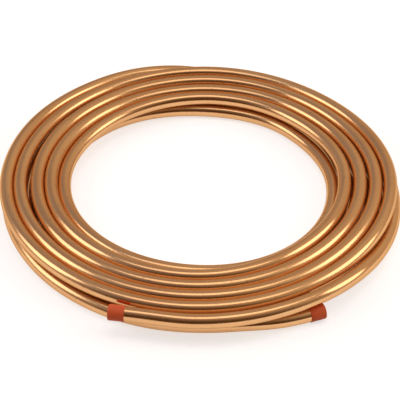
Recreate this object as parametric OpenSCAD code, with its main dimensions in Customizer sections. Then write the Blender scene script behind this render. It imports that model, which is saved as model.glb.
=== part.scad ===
// Coil of soft copper tube in two layers, with a push-on plastic cap on each end.
// The tube winds inwards in the upper layer, steps down at the eye, and winds outwards
// again in the lower layer. The outer turn of the upper layer sags to the floor on the right.
// Every front half turn is centred on the z axis, and every back half turn is set sideways
// by half a pitch, which makes the spiral.

/* [Tube] */
// Outside diameter of the tube
tube_od = 12.7; // [6:0.1:15]
// Wall thickness of the tube
tube_wall = 0.8; // [0.5:0.05:2]

/* [Coil] */
// Clear width of the eye in the middle of the coil
eye_width = 240; // [200:1:500]
// Turns in the upper layer, with the sagging one
upper_turns = 5; // [5:1:8]
// Turns in the lower layer
lower_turns = 4; // [2:1:4]
// Gap between neighbouring turns of the upper layer
upper_turn_gap = 0.6; // [0.6:0.1:2]
// Gap between neighbouring turns of the lower layer
lower_turn_gap = 0.5; // [0.3:0.05:0.6]
// Clearance between the upper layer and what lies under it
layer_clearance = 0.8; // [0.2:0.05:1.5]

/* [Tube ends] */
// Bearing at which the upper end leaves its turn and runs straight
upper_end_bearing = 261; // [250:1:275]
// Length of straight tube at the upper end
upper_end_length = 45; // [25:1:80]
// How much wider the arc to the lower end is than the turn that it opens from
lower_end_flare = 11; // [6:0.5:16]
// Bearing at which the lower end leaves its turn and runs straight
lower_end_bearing = 290; // [280:1:310]
// Length of straight tube at the lower end
lower_end_length = 31; // [25:1:80]

/* [End caps] */
// Length of the cap over all
cap_length = 14; // [8:0.5:24]
// Wall thickness of the cap
cap_wall = 0.45; // [0.3:0.05:0.5]
// Thickness of the closed end of the cap
cap_end = 1; // [0.6:0.1:3]
// Clearance between the cap and the tube, all round
cap_fit = 0.05; // [0.02:0.01:0.2]
// Width of the bevel round the closed end
cap_bevel = 0.4; // [0.1:0.05:0.5]

/* [Hidden] */
$fn = 96;

// How far the cap stands proud of the tube, and the outside radius of the cap
cap_proud = cap_fit + cap_wall;
cap_radius = tube_od / 2 + cap_proud;

// Heights of the two layers: the lower cap touches the floor, and the upper layer clears it
lower_z = cap_radius;
layer_step = tube_od + cap_proud + layer_clearance;
upper_z = lower_z + layer_step;

// Distance from turn to turn in each layer
upper_pitch = tube_od + upper_turn_gap;
lower_pitch = tube_od + lower_turn_gap;

// Radius of the turn at the eye, of the turn that the sagging one follows, and of the lower end
eye_radius = (eye_width + tube_od) / 2;
outer_radius = eye_radius + (upper_turns - 1) * upper_pitch;
lower_end_radius = eye_radius + lower_turns * lower_pitch + lower_end_flare;

// The arc at the eye that steps down from the upper to the lower layer, tilted about y
step_tilt = atan(layer_step / 2 / eye_radius);
step_radius = eye_radius / cos(step_tilt);

// Radii of the sagging turn in plan: before it sinks, as it sinks, on the floor, as it rises,
// and on the way to its end
high_radius = outer_radius + 0.55 * tube_od;
sink_radius = outer_radius - 0.22 * tube_od;
floor_radius = outer_radius + 1.35 * tube_od;
rise_radius = outer_radius + 0.14 * tube_od;
upper_end_radius = outer_radius + tube_od;

// Angle turned, clockwise from the left, to the middle of the sink, of the rise, and to the end
sink_turn = 86.5;
rise_turn = 215.5;
upper_end_turn = 540 - upper_end_bearing;

// How far the bends of the sink and of the rise are rolled out of the level
sink_roll = 15.8;
rise_roll = 22.8;

// The sink and the rise are each two equal bends, one rolled down and one rolled up.
// Sweep of such a bend, the angle that it turns in plan, and its twist from the level at its end
function change_sweep(radius, roll) = acos(1 - layer_step / radius / sin(2 * roll));
function change_turn(radius, roll) = atan(tan(change_sweep(radius, roll)) * cos(roll));
function change_twist(radius, roll) = atan(cos(change_sweep(radius, roll)) * tan(roll));

// The bends of the sagging turn, clockwise from the left: radius, sweep, and the roll after it
sag = let (
    sunk = change_turn(sink_radius, sink_roll),
    risen = change_turn(rise_radius, rise_roll),
    sink = [sink_radius * cos(sink_roll), change_sweep(sink_radius, sink_roll)],
    rise = [rise_radius * cos(rise_roll), change_sweep(rise_radius, rise_roll)]
) [
    [high_radius, sink_turn - sunk, sink_roll],
    [sink[0], sink[1], -2 * change_twist(sink_radius, sink_roll)],
    [sink[0], sink[1], sink_roll],
    [floor_radius, rise_turn - risen - sink_turn - sunk, -rise_roll],
    [rise[0], rise[1], 2 * change_twist(rise_radius, rise_roll)],
    [rise[0], rise[1], -rise_roll],
    [upper_end_radius, upper_end_turn - rise_turn - risen, 0]
];

// A spliced length of tube runs this far into the wall of the next one, and is thinner by
// the allowance on both faces, so that the two become one tube
splice_length = 0.6;
splice_allowance = 0.05;

copper = [0.72, 0.45, 0.2];
red_plastic = [0.74, 0.3, 0.17];

// Cross-section of the tube, its wall pared down by an allowance on both faces
module tube_section(allowance = 0) {
    difference() {
        circle(r = tube_od / 2 - allowance);
        circle(r = tube_od / 2 - tube_wall + allowance);
    }
}

// Level arc of tube, swept anticlockwise from a bearing
module tube_arc(centre, radius, z, from, sweep) {
    translate([centre, 0, z]) rotate(from)
        rotate_extrude(angle = sweep) translate([radius, 0]) tube_section();
}

// Arc of tube in the xy plane from bearing 0, spliced at both ends
module spliced_arc(radius, sweep) {
    splice_angle = splice_length / radius * 180 / PI;
    rotate(-splice_angle) rotate_extrude(angle = sweep + 2 * splice_angle)
        translate([radius, 0]) tube_section(splice_allowance);
}

// Places its children after some of the bends of the sagging turn, with +z along the tube,
// +x away from the centre of the next bend
module after_bends(count) {
    if (count == 0)
        rotate(180) translate([outer_radius, 0, upper_z]) rotate([90, 0, 0]) children();
    else
        after_bends(count - 1)
            translate([-sag[count - 1][0], 0, 0]) rotate([0, -sag[count - 1][1], 0])
                translate([sag[count - 1][0], 0, 0]) rotate(sag[count - 1][2]) children();
}

// Sagging turn: every other bend is spliced into the two that it lies between
module sagging_turn() {
    for (bend = [0 : len(sag) - 1])
        after_bends(bend) translate([-sag[bend][0], 0, 0]) rotate([90, 0, 0])
            if (bend % 2 == 0)
                spliced_arc(sag[bend][0], sag[bend][1]);
            else
                tube_arc(0, sag[bend][0], 0, 0, sag[bend][1]);
    at_upper_end() linear_extrude(height = upper_end_length) tube_section();
}

// Places its children where the upper end leaves its turn, with +z along the tube
module at_upper_end() {
    after_bends(len(sag)) children();
}

// Places its children where the lower end leaves its turn, with +z along the tube
module at_lower_end() {
    translate([lower_end_flare, 0, lower_z]) rotate(lower_end_bearing)
        translate([lower_end_radius, 0, 0]) rotate([-90, 0, 0]) children();
}

// Upper layer inside the sagging turn: each back half turn brings the tube one pitch inwards
module upper_layer() {
    for (turn = [1 : upper_turns - 1]) {
        right = eye_radius + turn * upper_pitch;
        tube_arc(upper_pitch / 2, right - upper_pitch / 2, upper_z, 0, 180);
        tube_arc(0, right, upper_z, 180, 180);
    }
}

// Half turn at the eye that sinks from the upper layer to the lower one, spliced into both
module step_down() {
    translate([0, 0, (upper_z + lower_z) / 2]) rotate([0, step_tilt, 0]) rotate(180)
        spliced_arc(step_radius, 180);
}

// Lower layer: each back half turn takes the tube one pitch further from the eye
module lower_layer() {
    for (turn = [1 : lower_turns]) {
        left = eye_radius + turn * lower_pitch;
        tube_arc(-lower_pitch / 2, left - lower_pitch / 2, lower_z, 0, 180);
        if (turn < lower_turns)
            tube_arc(0, left, lower_z, 180, 180);
    }
    tube_arc(lower_end_flare, lower_end_radius, lower_z, 180, lower_end_bearing - 180);
    at_lower_end() translate([0, 0, -splice_length])
        linear_extrude(height = lower_end_length + splice_length) tube_section(splice_allowance);
}

// The whole tube, from one cut end to the other
module copper_tube() {
    color(copper) union() {
        sagging_turn();
        upper_layer();
        step_down();
        lower_layer();
    }
}

// Cap with its closed end at z = 0 and its mouth towards -z
module end_cap() {
    color(red_plastic) rotate_extrude() polygon([
        [0, 0],
        [cap_radius - cap_bevel, 0],
        [cap_radius, -cap_bevel],
        [cap_radius, -cap_length],
        [tube_od / 2 + cap_fit, -cap_length],
        [tube_od / 2 + cap_fit, -cap_end],
        [0, -cap_end]
    ]);
}

// Cap on the tube's upper end, pushed on until the cut end meets its closed end
module upper_end_cap() {
    at_upper_end() translate([0, 0, upper_end_length + cap_end]) end_cap();
}

// Cap on the tube's lower end, pushed on in the same way
module lower_end_cap() {
    at_lower_end() translate([0, 0, lower_end_length + cap_end]) end_cap();
}

copper_tube();
upper_end_cap();
lower_end_cap();
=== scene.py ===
import bpy
from math import acos, atan, ceil, cos, degrees, pi, radians, sin, tan
from mathutils import Matrix, Vector


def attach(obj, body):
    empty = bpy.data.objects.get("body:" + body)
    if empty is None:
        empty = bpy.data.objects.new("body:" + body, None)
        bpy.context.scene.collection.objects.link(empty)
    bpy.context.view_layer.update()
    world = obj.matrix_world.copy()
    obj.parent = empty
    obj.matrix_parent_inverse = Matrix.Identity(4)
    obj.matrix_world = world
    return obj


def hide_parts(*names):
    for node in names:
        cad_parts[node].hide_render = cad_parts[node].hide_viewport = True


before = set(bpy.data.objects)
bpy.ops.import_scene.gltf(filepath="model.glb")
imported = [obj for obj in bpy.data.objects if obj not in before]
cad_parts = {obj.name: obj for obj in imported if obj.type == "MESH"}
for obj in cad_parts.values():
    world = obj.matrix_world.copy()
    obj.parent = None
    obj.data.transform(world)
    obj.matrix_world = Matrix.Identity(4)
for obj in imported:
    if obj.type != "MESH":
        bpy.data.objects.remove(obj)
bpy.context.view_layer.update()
scene = bpy.context.scene
scene.view_settings.view_transform = "Standard"

mm = 0.001
up = Vector((0, 0, 1))


# how the tube is wound, lengths in mm and angles in degrees
coil = {
    "tubeDiameter": 12.7,
    "tubeWall": 0.8,
    "eyeWidth": 240,
    "upperTurns": 4,       # inside the sagging turn
    "lowerTurns": 4,
    "upperGap": 0.6,
    "lowerGap": 0.5,
    "layerGap": 1.3,       # clear height between the layers
    "capProud": 0.5,       # a cap's wall and fit, which lift the tube off the floor
    "upperEndTurn": 279,   # angle that the sagging turn goes through, clockwise from the left
    "upperEndLength": 45,
    "lowerEndFlare": 11,
    "lowerEndBearing": 290,
    "lowerEndLength": 31,
    "ringStep": 5,         # length of tube between two rings of the mesh
    "sides": 36,
    "boreDepth": 60,       # the bore is only modelled near the two cut ends

    # the sagging turn: how many tube diameters wider each part is than the turn before it,
    # and where and how steeply it sinks to the floor and rises again
    "sagWider": {"high": 0.55, "sink": -0.22, "floor": 1.35, "rise": 0.14, "end": 1},
    "sinkTurn": 86.5,
    "sinkRoll": 15.8,
    "riseTurn": 215.5,
    "riseRoll": 22.8,

    # slack in the winding: quarter turns from the left of the eye, and the shift outwards there
    "upperSlack": [
        (0, -0.4), (1, -8), (1.5, -9), (2, -3), (2.4, -2.4), (3, 1.2), (3.5, -0.5),
        (4, -1.9), (5, -7.2), (5.5, -7), (6, -1.8), (6.4, -1.7), (7, 0.9), (7.5, -0.8),
        (8, -2.3), (9, -3.7), (9.5, -5.2), (10, -0.8), (10.4, -1.5), (11, 0.3), (11.5, -0.9),
        (12, 0.2), (13, -1), (13.5, -4.2), (14, -0.4), (14.4, -1.4), (15, 0.1), (15.5, -1.5),
        (16, -0.3), (16.3, 0.4), (16.7, -1.6), (17, -1), (17.5, -2),
        (17.95, -4.8), (18.3, -4.8), (18.65, 0), (19, 1.3), (19.2, 0)],
    "lowerSlack": [
        (0, -0.4), (1, 1.5), (2, 0.6), (2.5, -3), (3, -8.6), (3.5, -5.2),
        (4, -4.6), (4.3, -4.4), (5, 0), (6, 2.2), (6.15, 0.2), (6.5, 0.2), (7, -2),
        (8, -5), (8.3, -4.6), (9, 0), (10, 3), (10.1, 1.4), (10.4, 0), (10.8, -0.9), (11, -0.8), (11.7, -2),
        (12, -5.5), (12.3, -4.8), (12.65, 2.8), (13, 5), (13.6, 8.5), (13.8, 5),
        (14, 2.6), (14.2, 0.8), (14.4, 0), (14.8, -1), (15.3, -0.6),
        (16, -1), (16.4, -2), (16.75, -2.2), (17.1, -5.2), (17.3, 0)],
    # the same for the shift upwards, where the tube steps from layer to layer at the eye
    "upperLift": [(0, -5), (1, 0)],
    "lowerLift": [(0, -5), (1, 0.5), (2, 0)],
}


# sweep of the arcs in a change of height, their twist at the end, and their turn in plan
def changeAngles(height, radius, roll):
    g = radians(roll)
    sweep = acos(1 - abs(height) / radius / sin(2 * g))
    return degrees(sweep), degrees(atan(cos(sweep) * tan(g))), degrees(atan(tan(sweep) * cos(g)))


# a point that walks along the middle of the tube and leaves a trail
class Walker:
    def __init__(self, place, heading, inward):
        self.place, self.heading, self.inward = Vector(place), Vector(heading), Vector(inward)
        self.trail = [self.place.copy()]

    def roll(self, angle):
        self.inward = Matrix.Rotation(radians(angle), 3, self.heading) @ self.inward

    def arc(self, radius, sweep):
        centre = self.place + self.inward * radius
        axis = self.heading.cross(self.inward)
        arm = self.place - centre
        count = ceil(radians(sweep) * radius / coil["ringStep"])
        for i in range(1, count + 1):
            turn = Matrix.Rotation(radians(sweep) * i / count, 3, axis)
            self.trail.append(centre + turn @ arm)
        self.place = self.trail[-1].copy()
        self.heading = turn @ self.heading
        self.inward = turn @ self.inward

    # two equal arcs, one rolled down and one rolled up, that end level at another height
    def change(self, height, radius, roll):
        sweep, twist, _ = changeAngles(height, radius, roll)
        side = -1 if height > 0 else 1
        self.roll(side * roll)
        self.arc(radius * cos(radians(roll)), sweep)
        self.roll(-2 * side * twist)
        self.arc(radius * cos(radians(roll)), sweep)
        self.roll(side * roll)

    def line(self, length):
        count = ceil(length / coil["ringStep"])
        for i in range(1, count + 1):
            self.trail.append(self.place + self.heading * (length * i / count))
        self.place = self.trail[-1].copy()


# value at a turn, blended from one step to the next
def blend(steps, turned):
    for (t0, v0), (t1, v1) in zip(steps, steps[1:]):
        if t0 <= turned < t1:
            f = (turned - t0) / (t1 - t0)
            return v0 + (v1 - v0) * (f * f * (3 - 2 * f))
    return 0


# moves the points of a trail by the slack
def loosen(trail, slack, lift):
    turned, last = 0, trail[0].copy()
    for p in trail:
        turned += p.xy.angle(last.xy) / (pi / 2)
        last = p.copy()
        p.xy *= 1 + blend(slack, turned) / p.xy.length
        p.z += blend(lift, turned)


def windCoil():
    c = coil
    od = c["tubeDiameter"]
    upperPitch, lowerPitch = od + c["upperGap"], od + c["lowerGap"]
    lowerZ = od / 2 + c["capProud"]
    upperZ = lowerZ + od + c["layerGap"]
    drop = upperZ - lowerZ
    eyeRadius = (c["eyeWidth"] + od) / 2

    # from the eye outwards in the upper layer
    upper = Walker((-eyeRadius, 0, upperZ), (0, 1, 0), (1, 0, 0))
    for turn in range(1, c["upperTurns"] + 1):
        right = eyeRadius + turn * upperPitch
        upper.arc(right - upperPitch / 2, 180)
        upper.arc(right, 180)

    # once more round to the upper end, down to the floor at the back and up again in front
    sag = {part: right + wider * od for part, wider in c["sagWider"].items()}
    sunk = changeAngles(drop, sag["sink"], c["sinkRoll"])[2]
    risen = changeAngles(drop, sag["rise"], c["riseRoll"])[2]
    upper.arc(sag["high"], c["sinkTurn"] - sunk)
    upper.change(-drop, sag["sink"], c["sinkRoll"])
    upper.arc(sag["floor"], c["riseTurn"] - risen - c["sinkTurn"] - sunk)
    upper.change(drop, sag["rise"], c["riseRoll"])
    upper.arc(sag["end"], c["upperEndTurn"] - c["riseTurn"] - risen)
    upper.line(c["upperEndLength"])

    # down at the eye and outwards in the lower layer, to the lower end
    dip = atan(drop / 2 / eyeRadius)
    lower = Walker((-eyeRadius, 0, upperZ), (0, -1, 0), (cos(dip), 0, -sin(dip)))
    lower.arc(eyeRadius / cos(dip), 180)
    lower.inward = Vector((-1, 0, 0))
    for turn in range(1, c["lowerTurns"] + 1):
        left = eyeRadius + turn * lowerPitch
        lower.arc(left - lowerPitch / 2, 180)
        if turn < c["lowerTurns"]:
            lower.arc(left, 180)
    lower.arc(left + c["lowerEndFlare"], c["lowerEndBearing"] - 180)
    lower.line(c["lowerEndLength"])

    loosen(upper.trail, c["upperSlack"], c["upperLift"])
    loosen(lower.trail, c["lowerSlack"], c["lowerLift"])
    return upper, lower


def meshObject(name, verts, faces, uvs=None):
    mesh = bpy.data.meshes.new(name)
    mesh.from_pydata(verts, [], faces)
    if uvs:
        layer = mesh.uv_layers.new(name="length")
        layer.data.foreach_set("uv", [v for uv in uvs for v in uv])
    mesh.validate()
    mesh.shade_smooth()
    obj = bpy.data.objects.new(name, mesh)
    scene.collection.objects.link(obj)
    return obj


# tube along a path, with a UV map in metres along and round it
def sweepTube(name, path, radius, wall):
    sides = coil["sides"]
    along = [0.0]
    for a, b in zip(path, path[1:]):
        along.append(along[-1] + (b - a).length)
    verts, faces, uvs = [], [], []

    def ring(i, r):
        ahead = path[min(i + 1, len(path) - 1)] - path[max(i - 1, 0)]
        across = ahead.cross(up).normalized()
        lift = across.cross(ahead).normalized()
        first = len(verts)
        for k in range(sides):
            a = 2 * pi * k / sides
            verts.append(path[i] + (across * cos(a) + lift * sin(a)) * r)
        return first

    def bridge(a, b, sa, sb, flip):
        for k in range(sides):
            n = (k + 1) % sides
            quad = (a + k, a + n, b + n, b + k)
            v0, v1 = 2 * pi * radius * k / sides, 2 * pi * radius * (k + 1) / sides
            corner = ((sa, v0), (sa, v1), (sb, v1), (sb, v0))
            faces.append(quad[::-1] if flip else quad)
            uvs.extend(corner[::-1] if flip else corner)

    # cut end: a flat ring of wall, and the bore as far as it is modelled
    def cutEnd(indices, outer, flip):
        bore = [ring(i, radius - wall) for i in indices]
        bridge(outer, bore[0], 0, wall, flip)
        for a, b, i, j in zip(bore, bore[1:], indices, indices[1:]):
            bridge(a, b, along[i], along[j], flip)
        stop = [bore[-1] + k for k in range(sides)]
        faces.append(stop if flip else stop[::-1])
        uvs.extend([(0, 0)] * sides)

    rings = [ring(i, radius) for i in range(len(path))]
    for i in range(len(path) - 1):
        bridge(rings[i], rings[i + 1], along[i], along[i + 1], True)
    depth = coil["boreDepth"] * mm
    near = [i for i, s in enumerate(along) if s <= depth]
    far = [i for i, s in enumerate(along) if s >= along[-1] - depth][::-1]
    cutEnd(near, rings[0], False)
    cutEnd(far, rings[-1], True)
    print("tube wound, length %.3f m, %d faces" % (along[-1], len(faces)))
    return meshObject(name, verts, faces, uvs)


upper, lower = windCoil()
path = [p * mm for p in upper.trail[::-1] + lower.trail[1:]]
tube = sweepTube("copperTube", path, coil["tubeDiameter"] / 2 * mm, coil["tubeWall"] * mm)


# push-on cap, lengths in mm
cap = {
    "length": 14,
    "wall": 0.45,
    "fit": 0.05,
    "end": 1.0,
    "dish": 0.25,          # how far the closed end sinks in the middle
    "dishCurve": [(0, 1), (0.35, 0.8), (0.7, 0.25)],  # shares of the radius and of the dish
    "rim": 0.9,            # radius of the rounded rim at the closed end
    "rimSteps": 6,
    "waist": 0.04,         # how far the skirt draws in
    "skirtCurve": [(0.35, 0), (0.7, 1)],              # shares of the length and of the waist
    "lip": 0.25,           # rounding of the mouth
    "segments": 72,
}


# profile of the cap from the middle of its closed end to its mouth and back inside
def capProfile():
    inner = coil["tubeDiameter"] / 2 + cap["fit"]
    outer = inner + cap["wall"]
    length, end, rim, lip = cap["length"], cap["end"], cap["rim"], cap["lip"]
    points = [(outer * r, -cap["dish"] * sink) for r, sink in cap["dishCurve"]]
    for i in range(cap["rimSteps"] + 1):
        a = pi / 2 * i / cap["rimSteps"]
        points.append((outer - rim + rim * sin(a), -rim + rim * cos(a)))
    points += [(outer - cap["waist"] * draw, -length * s) for s, draw in cap["skirtCurve"]]
    bend = lip * 0.3  # near the middle of the lip's round
    points += [(outer, lip - length), (outer - bend, bend - length), (outer - lip, -length)]
    points += [(inner, -length), (inner, -end), (inner / 2, -end)]
    return points


def makeCap(name, walker):
    profile = capProfile()
    count = cap["segments"]
    axis = walker.heading
    side = axis.cross(up).normalized()
    top = side.cross(axis)
    closedEnd = walker.place + axis * cap["end"]
    verts, faces = [], []
    for r, z in profile[1:]:
        for k in range(count):
            a = 2 * pi * k / count
            verts.append((closedEnd + axis * z + (side * cos(a) + top * sin(a)) * r) * mm)
    for i in range(len(profile) - 2):
        for k in range(count):
            n = (k + 1) % count
            faces.append((i * count + k, i * count + n, (i + 1) * count + n, (i + 1) * count + k))

    # the middle of the closed end, outside and inside
    verts.append((closedEnd + axis * profile[0][1]) * mm)
    verts.append((closedEnd - axis * cap["end"]) * mm)
    last = (len(profile) - 2) * count
    for k in range(count):
        n = (k + 1) % count
        faces.append((len(verts) - 2, n, k))
        faces.append((len(verts) - 1, last + k, last + n))
    return meshObject(name, verts, faces)


upperCap = makeCap("upperEndCap", upper)
lowerCap = makeCap("lowerEndCap", lower)
print("caps made")


# small helpers for shader nodes: the last four give the socket that carries the result
def addNode(tree, kind, inputs=None, **settings):
    node = tree.nodes.new(kind)
    for key, value in settings.items():
        setattr(node, key, value)
    for key, value in (inputs or {}).items():
        if isinstance(value, bpy.types.NodeSocket):
            tree.links.new(value, node.inputs[key])
        else:
            node.inputs[key].default_value = value
    return node


def newMaterial(name):
    material = bpy.data.materials.new(name)
    material.use_nodes = True
    material.node_tree.nodes.clear()
    return material, material.node_tree


def noiseAt(tree, place, scale, detail, roughness=0.5):
    inputs = {"Vector": place, "Scale": scale, "Detail": detail, "Roughness": roughness}
    return addNode(tree, "ShaderNodeTexNoise", inputs).outputs[0]


def mapRange(tree, value, low, high, first=0, last=1, **settings):
    inputs = {0: value, 1: low, 2: high, 3: first, 4: last}
    return addNode(tree, "ShaderNodeMapRange", inputs, **settings).outputs[0]


def combine(tree, operation, a, b):
    return addNode(tree, "ShaderNodeMath", {0: a, 1: b}, operation=operation).outputs[0]


def mixColours(tree, share, first, second):
    inputs = {0: share, 6: first, 7: second}
    return addNode(tree, "ShaderNodeMix", inputs, data_type="RGBA").outputs[2]


# shared effect: soft blotches, small specks and short scratches left by handling
wear = {
    "blotchScale": 14,
    "blotchRoughness": 0.55,
    "speckScale": 420,
    "speckRange": (0.66, 0.76),
    "scratchScale": 95,
    "scratchWidth": 0.012,
    "patchScale": 60,      # the scratches lie in patches
    "patchRange": (0.6, 0.68),
}


def handlingGroup():
    group = bpy.data.node_groups.new("handling", "ShaderNodeTree")
    for side, names in (("INPUT", ("Scale", "Specks")), ("OUTPUT", ("Blotch", "Speck", "Scratch"))):
        for name in names:
            group.interface.new_socket(name=name, in_out=side, socket_type="NodeSocketFloat")
    given = group.nodes.new("NodeGroupInput")
    place = addNode(group, "ShaderNodeTexCoord").outputs["Object"]
    scaled = addNode(group, "ShaderNodeVectorMath", {0: place, "Scale": given.outputs["Scale"]},
                     operation="SCALE")
    place = scaled.outputs[0]

    blotch = noiseAt(group, place, wear["blotchScale"], 4, wear["blotchRoughness"])
    speck = mapRange(group, noiseAt(group, place, wear["speckScale"], 2), *wear["speckRange"])
    cells = addNode(group, "ShaderNodeTexVoronoi", {"Vector": place, "Scale": wear["scratchScale"]},
                    feature="DISTANCE_TO_EDGE")
    line = mapRange(group, cells.outputs[0], 0, wear["scratchWidth"], 1, 0)
    patch = mapRange(group, noiseAt(group, place, wear["patchScale"], 1), *wear["patchRange"])
    addNode(group, "NodeGroupOutput", {
        "Blotch": blotch,
        "Speck": combine(group, "MULTIPLY", speck, given.outputs["Specks"]),
        "Scratch": combine(group, "MULTIPLY", line, patch)})
    return group


handling = handlingGroup()


# bright annealed copper, drawn lengthwise
copper = {
    "bright": (0.8, 0.455, 0.21, 1),
    "tan": (0.72, 0.385, 0.175, 1),
    "toneRange": (0.16, 0.36),
    "edge": (0.75, 0.6, 0.45, 1),          # tint at shallow angles
    # painted light: a lighter copper colour, shown only where copper is seen in copper, standing in for
    # light bouncing between the turns
    "paintedBounceLight": (0.9, 0.56, 0.3, 1),         # copper that is seen in copper
    "speckColour": (0.25, 0.12, 0.06, 1),
    "wearScale": 1.0,
    "specks": 0.6,
    "streaks": (5, 260, 1),                # how often along and round the tube, per metre
    "streakRange": (0.3, 0.7),
    "roughLow": 0.13,
    "roughHigh": 0.24,
    "drawnLines": (14, 2600, 1),
    "lineBump": 0.025,
    "lineHeight": 0.0004,
    "waves": (22, 70, 1),                  # faint waves in the wall, which make the highlights waver
    "waveHeight": 0.00025,
}


def copperMaterial():
    material, tree = newMaterial("annealedCopper")
    marks = addNode(tree, "ShaderNodeGroup", {
        "Scale": copper["wearScale"], "Specks": copper["specks"]}, node_tree=handling)
    uv = addNode(tree, "ShaderNodeUVMap", uv_map="length").outputs[0]

    def alongTube(often, detail):
        stretch = addNode(tree, "ShaderNodeMapping", {"Vector": uv, "Scale": often})
        return noiseAt(tree, stretch.outputs[0], 1.0, detail)

    streaks = alongTube(copper["streaks"], 2)
    hue = combine(tree, "MULTIPLY", marks.outputs["Blotch"], streaks)
    tone = mixColours(tree, mapRange(tree, hue, *copper["toneRange"]), copper["tan"], copper["bright"])
    marked = mixColours(tree, marks.outputs["Speck"], tone, copper["speckColour"])
    rough = mapRange(tree, streaks, *copper["streakRange"], copper["roughLow"], copper["roughHigh"])

    relief = combine(tree, "SUBTRACT", alongTube(copper["drawnLines"], 3), marks.outputs["Scratch"])
    wavy = addNode(tree, "ShaderNodeBump", {
        "Height": alongTube(copper["waves"], 1), "Strength": 1.0, "Distance": copper["waveHeight"]})
    bump = addNode(tree, "ShaderNodeBump", {
        "Height": relief, "Strength": copper["lineBump"], "Distance": copper["lineHeight"],
        "Normal": wavy.outputs[0]})

    # copper seen in a reflection is soft and painted lighter: painted light that stands in for the light
    # that bounces on between the turns
    rays = addNode(tree, "ShaderNodeLightPath")
    direct = mapRange(tree, rays.outputs["Glossy Depth"], 0, 1, 1, 0)
    shader = addNode(tree, "ShaderNodeBsdfPrincipled", {
        "Base Color": mixColours(tree, direct, copper["paintedBounceLight"], marked), "Metallic": direct,
        "Roughness": rough, "Normal": bump.outputs[0], "Specular Tint": copper["edge"]})
    addNode(tree, "ShaderNodeOutputMaterial", {0: shader.outputs[0]})
    return material


# soft matte plastic of the caps
redPlastic = {
    "colour": (0.73, 0.097, 0.024, 1),
    "pale": (0.77, 0.142, 0.044, 1),
    "wearScale": 4.0,
    "specks": 0.3,
    "blotchRange": (0.3, 0.7),
    "roughLow": 0.42,
    "roughHigh": 0.58,
    "bump": 0.12,
    "bumpHeight": 0.0003,
    "shine": 0.25,
}


def plasticMaterial():
    material, tree = newMaterial("redPlastic")
    marks = addNode(tree, "ShaderNodeGroup", {
        "Scale": redPlastic["wearScale"], "Specks": redPlastic["specks"]}, node_tree=handling)
    blotch = marks.outputs["Blotch"]
    rubbed = combine(tree, "MAXIMUM", marks.outputs["Scratch"], marks.outputs["Speck"])
    mottle = combine(tree, "ADD", blotch, rubbed)
    rough = mapRange(tree, blotch, *redPlastic["blotchRange"],
                     redPlastic["roughLow"], redPlastic["roughHigh"])
    bump = addNode(tree, "ShaderNodeBump", {
        "Height": mottle, "Strength": redPlastic["bump"], "Distance": redPlastic["bumpHeight"]})
    shader = addNode(tree, "ShaderNodeBsdfPrincipled", {
        "Base Color": mixColours(tree, mottle, redPlastic["colour"], redPlastic["pale"]), "Roughness": rough,
        "Normal": bump.outputs[0], "Specular IOR Level": redPlastic["shine"]})
    addNode(tree, "ShaderNodeOutputMaterial", {0: shader.outputs[0]})
    return material


tube.data.materials.append(copperMaterial())
plastic = plasticMaterial()
for piece in (upperCap, lowerCap):
    piece.data.materials.append(plastic)
print("materials made")

# each piece stands for its CAD node
for piece, node, slotName in ((tube, "copper_tube", "copper"),
                              (upperCap, "upper_end_cap", "red_plastic"),
                              (lowerCap, "lower_end_cap", "red_plastic")):
    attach(piece, "root")
    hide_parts(node)


# floor, room and lamps, lengths in metres
studio = {
    "floorSize": 8,
    "floorColour": (0.62, 0.62, 0.62, 1),
    "floorRoughness": 0.9,
    "floorGlow": 0.62,     # what lifts the floor to white for the camera and in reflections
    "left": (0.38, 0.355, 0.39, 1),
    "right": (0.62, 0.525, 0.43, 1),
    "sideRange": (-0.3, 0.3),
    "horizon": (0.62, 0.51, 0.42, 1),
    "heightRange": (0, 0.5),
    "shade": (0.1, 0.056, 0.024, 1),       # the dark side of the room, behind the camera
    "shadeRange": (-0.9, -0.1),
    "aim": (0, 0, 0),
    "lamps": {             # place, size and power
        "overheadLamp": ((0, -0.08, 1.2), (1.3, 0.56), 2.1),
        "leftLamp": ((-1.1, -0.02, 0.75), (0.8, 0.85), 3.4),
        "rightLamp": ((1.1, -0.02, 0.75), (0.8, 0.85), 3.4),
    },
}


def makeFloor():
    half = studio["floorSize"] / 2
    corners = [(-half, -half, 0), (half, -half, 0), (half, half, 0), (-half, half, 0)]
    floor = meshObject("floor", corners, [(0, 1, 2, 3)])
    material, tree = newMaterial("paleFloor")
    shader = addNode(tree, "ShaderNodeBsdfPrincipled", {
        "Base Color": studio["floorColour"], "Roughness": studio["floorRoughness"]})
    rays = addNode(tree, "ShaderNodeLightPath")
    seen = combine(tree, "MAXIMUM", rays.outputs["Is Camera Ray"], rays.outputs["Is Glossy Ray"])
    seen = combine(tree, "MAXIMUM", seen, rays.outputs["Is Transmission Ray"])
    lift = addNode(tree, "ShaderNodeEmission", {"Color": (1, 1, 1, 1), "Strength": studio["floorGlow"]})
    dark = addNode(tree, "ShaderNodeEmission", {"Strength": 0.0})
    glow = addNode(tree, "ShaderNodeMixShader", {0: seen, 1: dark.outputs[0], 2: lift.outputs[0]})
    both = addNode(tree, "ShaderNodeAddShader", {0: shader.outputs[0], 1: glow.outputs[0]})
    addNode(tree, "ShaderNodeOutputMaterial", {0: both.outputs[0]})
    floor.data.materials.append(material)


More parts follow.
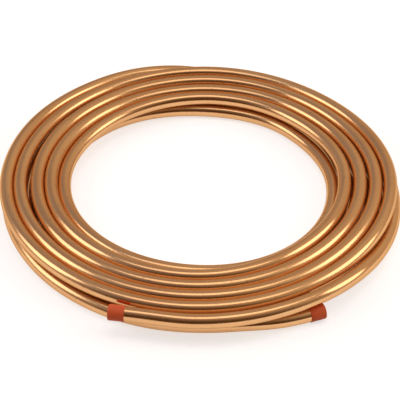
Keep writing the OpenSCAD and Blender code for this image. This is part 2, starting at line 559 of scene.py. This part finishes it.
def makeWorld():
    world = bpy.data.worlds.new("studio")
    world.use_nodes = True
    tree = world.node_tree
    tree.nodes.clear()
    direction = addNode(tree, "ShaderNodeTexCoord").outputs["Generated"]
    split = addNode(tree, "ShaderNodeSeparateXYZ", {0: direction})
    across = mapRange(tree, split.outputs["X"], *studio["sideRange"])
    height = mapRange(tree, split.outputs["Z"], *studio["heightRange"], interpolation_type="SMOOTHSTEP")
    front = mapRange(tree, split.outputs["Y"], *studio["shadeRange"], interpolation_type="SMOOTHSTEP")
    wall = mixColours(tree, across, studio["left"], studio["right"])
    around = mixColours(tree, height, studio["horizon"], wall)
    tone = mixColours(tree, front, studio["shade"], around)
    background = addNode(tree, "ShaderNodeBackground", {"Color": tone, "Strength": 1.0})
    addNode(tree, "ShaderNodeOutputWorld", {0: background.outputs[0]})
    scene.world = world


def makeLamp(name, place, size, power):
    light = bpy.data.lights.new(name, "AREA")
    light.shape = "ELLIPSE"
    light.size, light.size_y = size
    light.energy = power
    lamp = bpy.data.objects.new(name, light)
    lamp.location = place
    lamp.rotation_euler = (Vector(studio["aim"]) - Vector(place)).to_track_quat("-Z", "Y").to_euler()
    scene.collection.objects.link(lamp)


view = {
    "azimuth": 0,
    "elevation": 39.0,
    "distance": 1.2065,
    "target": (0.0028, 0, 0),
    "lens": 114.4,
    "sensor": 36,
    "shift": (-0.0037, -0.0207),
}


def makeCamera():
    data = bpy.data.cameras.new("camera")
    data.lens = view["lens"]
    data.sensor_width = view["sensor"]
    data.shift_x, data.shift_y = view["shift"]
    camera = bpy.data.objects.new("camera", data)
    a, e = radians(view["azimuth"]), radians(view["elevation"])
    back = Vector((sin(a) * cos(e), -cos(a) * cos(e), sin(e)))
    camera.location = Vector(view["target"]) + back * view["distance"]
    camera.rotation_euler = back.to_track_quat("Z", "Y").to_euler()
    scene.collection.objects.link(camera)
    scene.camera = camera


makeFloor()
makeWorld()
for name, (place, size, power) in studio["lamps"].items():
    makeLamp(name, place, size, power)
makeCamera()
print("studio set")
